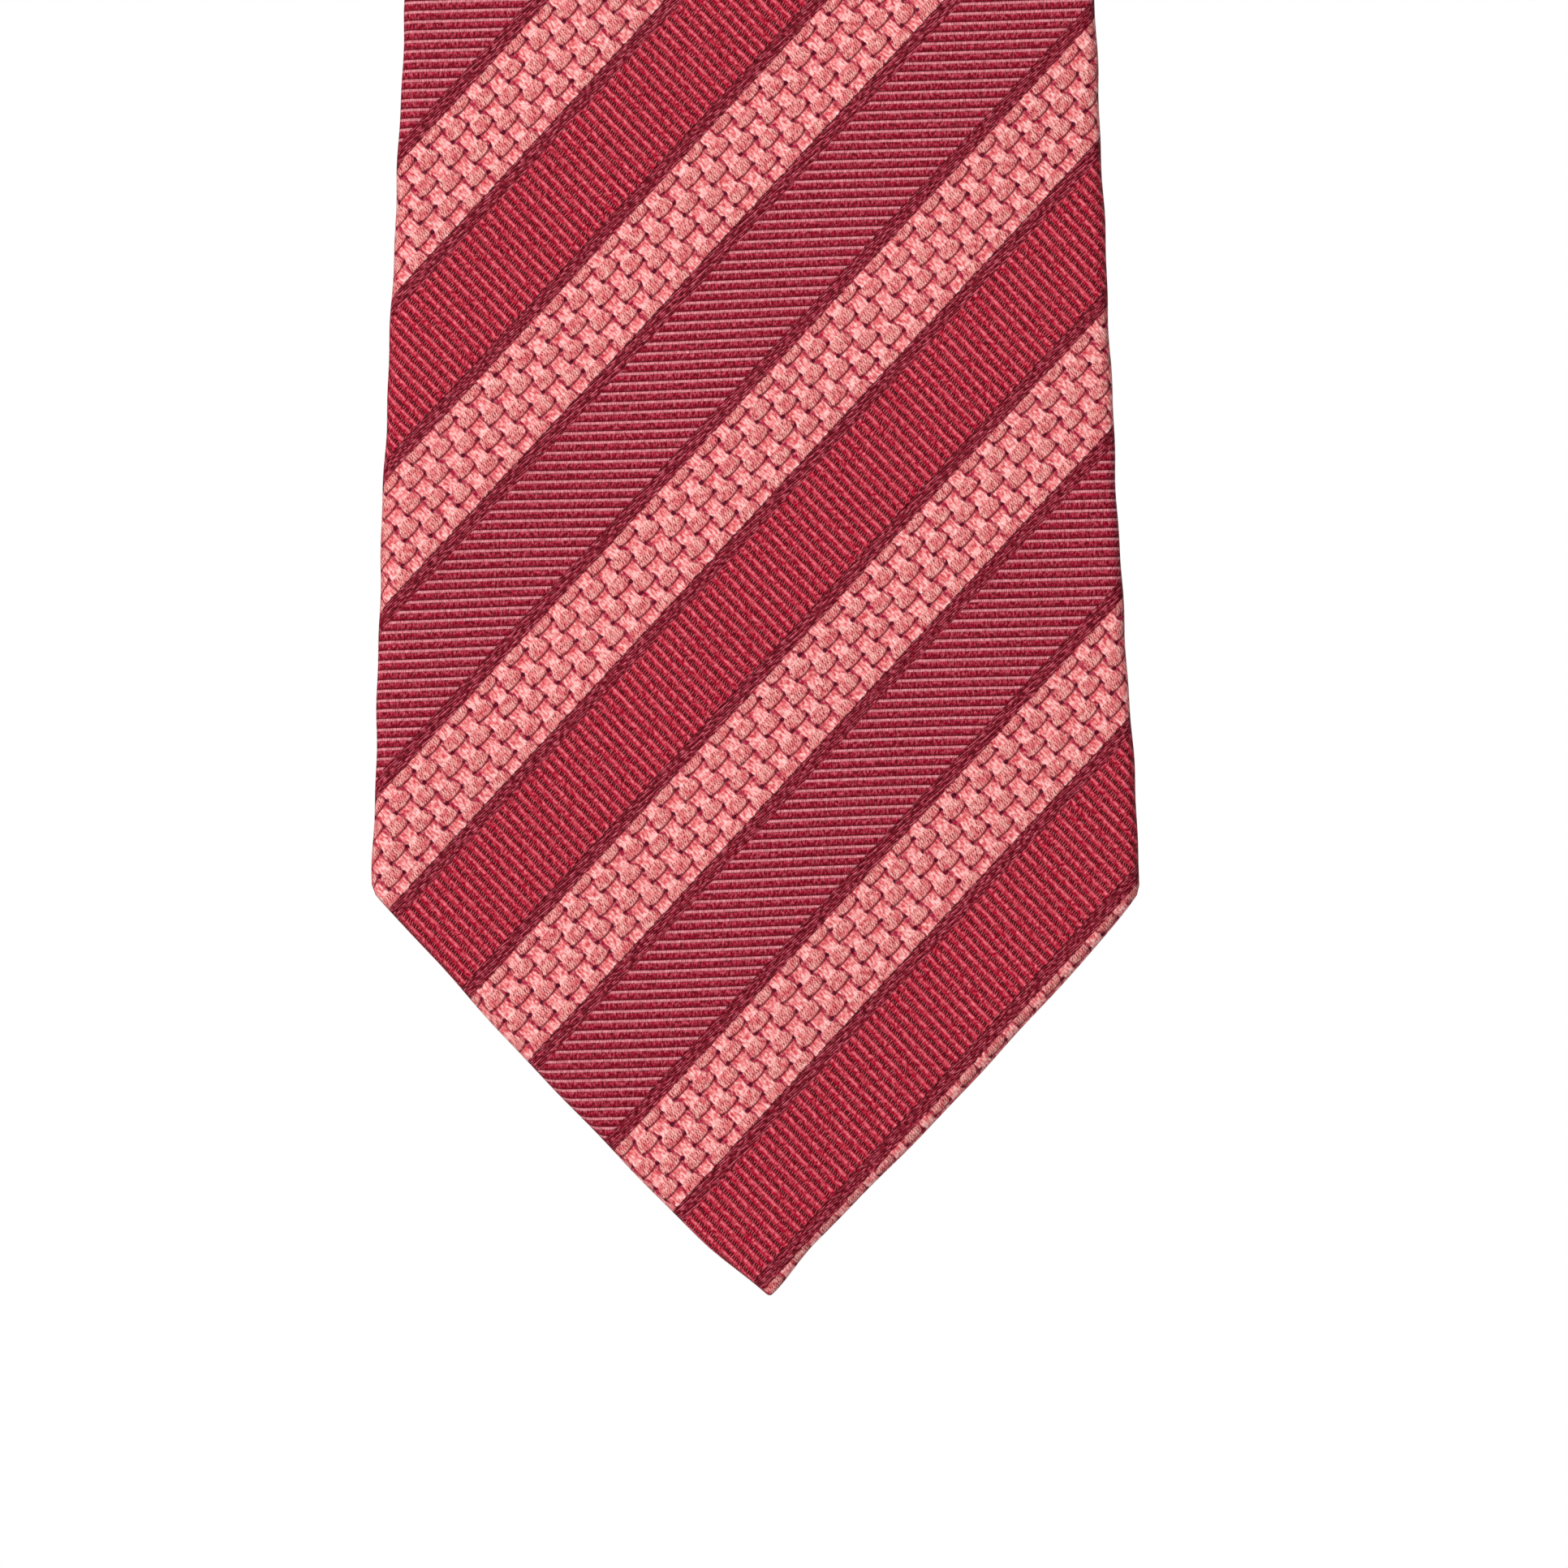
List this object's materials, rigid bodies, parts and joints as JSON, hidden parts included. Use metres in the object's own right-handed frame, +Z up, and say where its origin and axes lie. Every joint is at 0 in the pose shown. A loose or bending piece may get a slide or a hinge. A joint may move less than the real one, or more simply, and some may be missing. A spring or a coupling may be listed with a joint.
{
  "type": "necktie",
  "caption": "Lined silk necktie with a pointed wide blade, folded over a rail, its narrow tail threaded through a keeper loop.",
  "frame": {"origin": "top of the round rail that carries the tie, under the middle of the fold, on the seam side of the neck", "axes": "+Z up along the hanging tie, +X to the right as seen from the front, the wide blade's face looks to -Y and the tail hangs behind it at +Y"},
  "size_m": [0.085, 0.0226, 0.7747],
  "materials": {
    "shell_cloth": "striped jacquard silk in burgundy, crimson and pink, with a soft sheen",
    "interlining": "brushed wool interlining",
    "tipping": "smooth satin lining",
    "label": "woven satin label, left blank",
    "care_tape": "plain white tape, left blank",
    "thread": "silk sewing thread"
  },
  "bodies": {
    "neck_and_blade": {"blade_shell": "shell_cloth", "neck_shell": "shell_cloth", "blade_interlining": "interlining", "blade_slip_stitch": "thread", "neck_slip_stitch": "thread", "keeper_loop": "shell_cloth", "keeper_tack_left": "thread", "keeper_tack_right": "thread", "maker_label": "label", "label_stitch_lower_left": "thread", "label_stitch_lower_right": "thread", "label_stitch_upper_left": "thread", "label_stitch_upper_right": "thread", "tail_shell_upper": "shell_cloth", "tail_interlining_upper": "interlining", "tail_slip_stitch_upper": "thread"},
    "blade_end": {"blade_end_shell": "shell_cloth", "blade_end_interlining": "interlining", "blade_tipping": "tipping", "blade_end_slip_stitch": "thread", "blade_bar_tack": "thread", "care_label": "care_tape"},
    "tail": {"tail_shell_middle": "shell_cloth", "tail_interlining_middle": "interlining", "tail_slip_stitch_middle": "thread"},
    "tail_end": {"tail_end_shell": "shell_cloth", "tail_end_interlining": "interlining", "tail_tipping": "tipping", "tail_end_slip_stitch": "thread", "tail_bar_tack": "thread"}
  },
  "joints": [
    {"name": "blade_lift", "type": "hinge", "parent": "neck_and_blade", "child": "blade_end", "pos_m": [0, -0.0094, -0.583], "axis": [-1, 0, 0], "range_deg": [0, 80]},
    {"name": "tail_slide", "type": "slide", "parent": "neck_and_blade", "child": "tail", "axis": [0, 0, 1], "range_m": [0, 0.05], "deforming": ["tail_shell_upper", "tail_interlining_upper", "tail_slip_stitch_upper"]},
    {"name": "tail_lift", "type": "hinge", "parent": "tail", "child": "tail_end", "pos_m": [0, -0.0041, -0.6075], "axis": [1, 0, 0], "range_deg": [0, 80]}
  ]
}
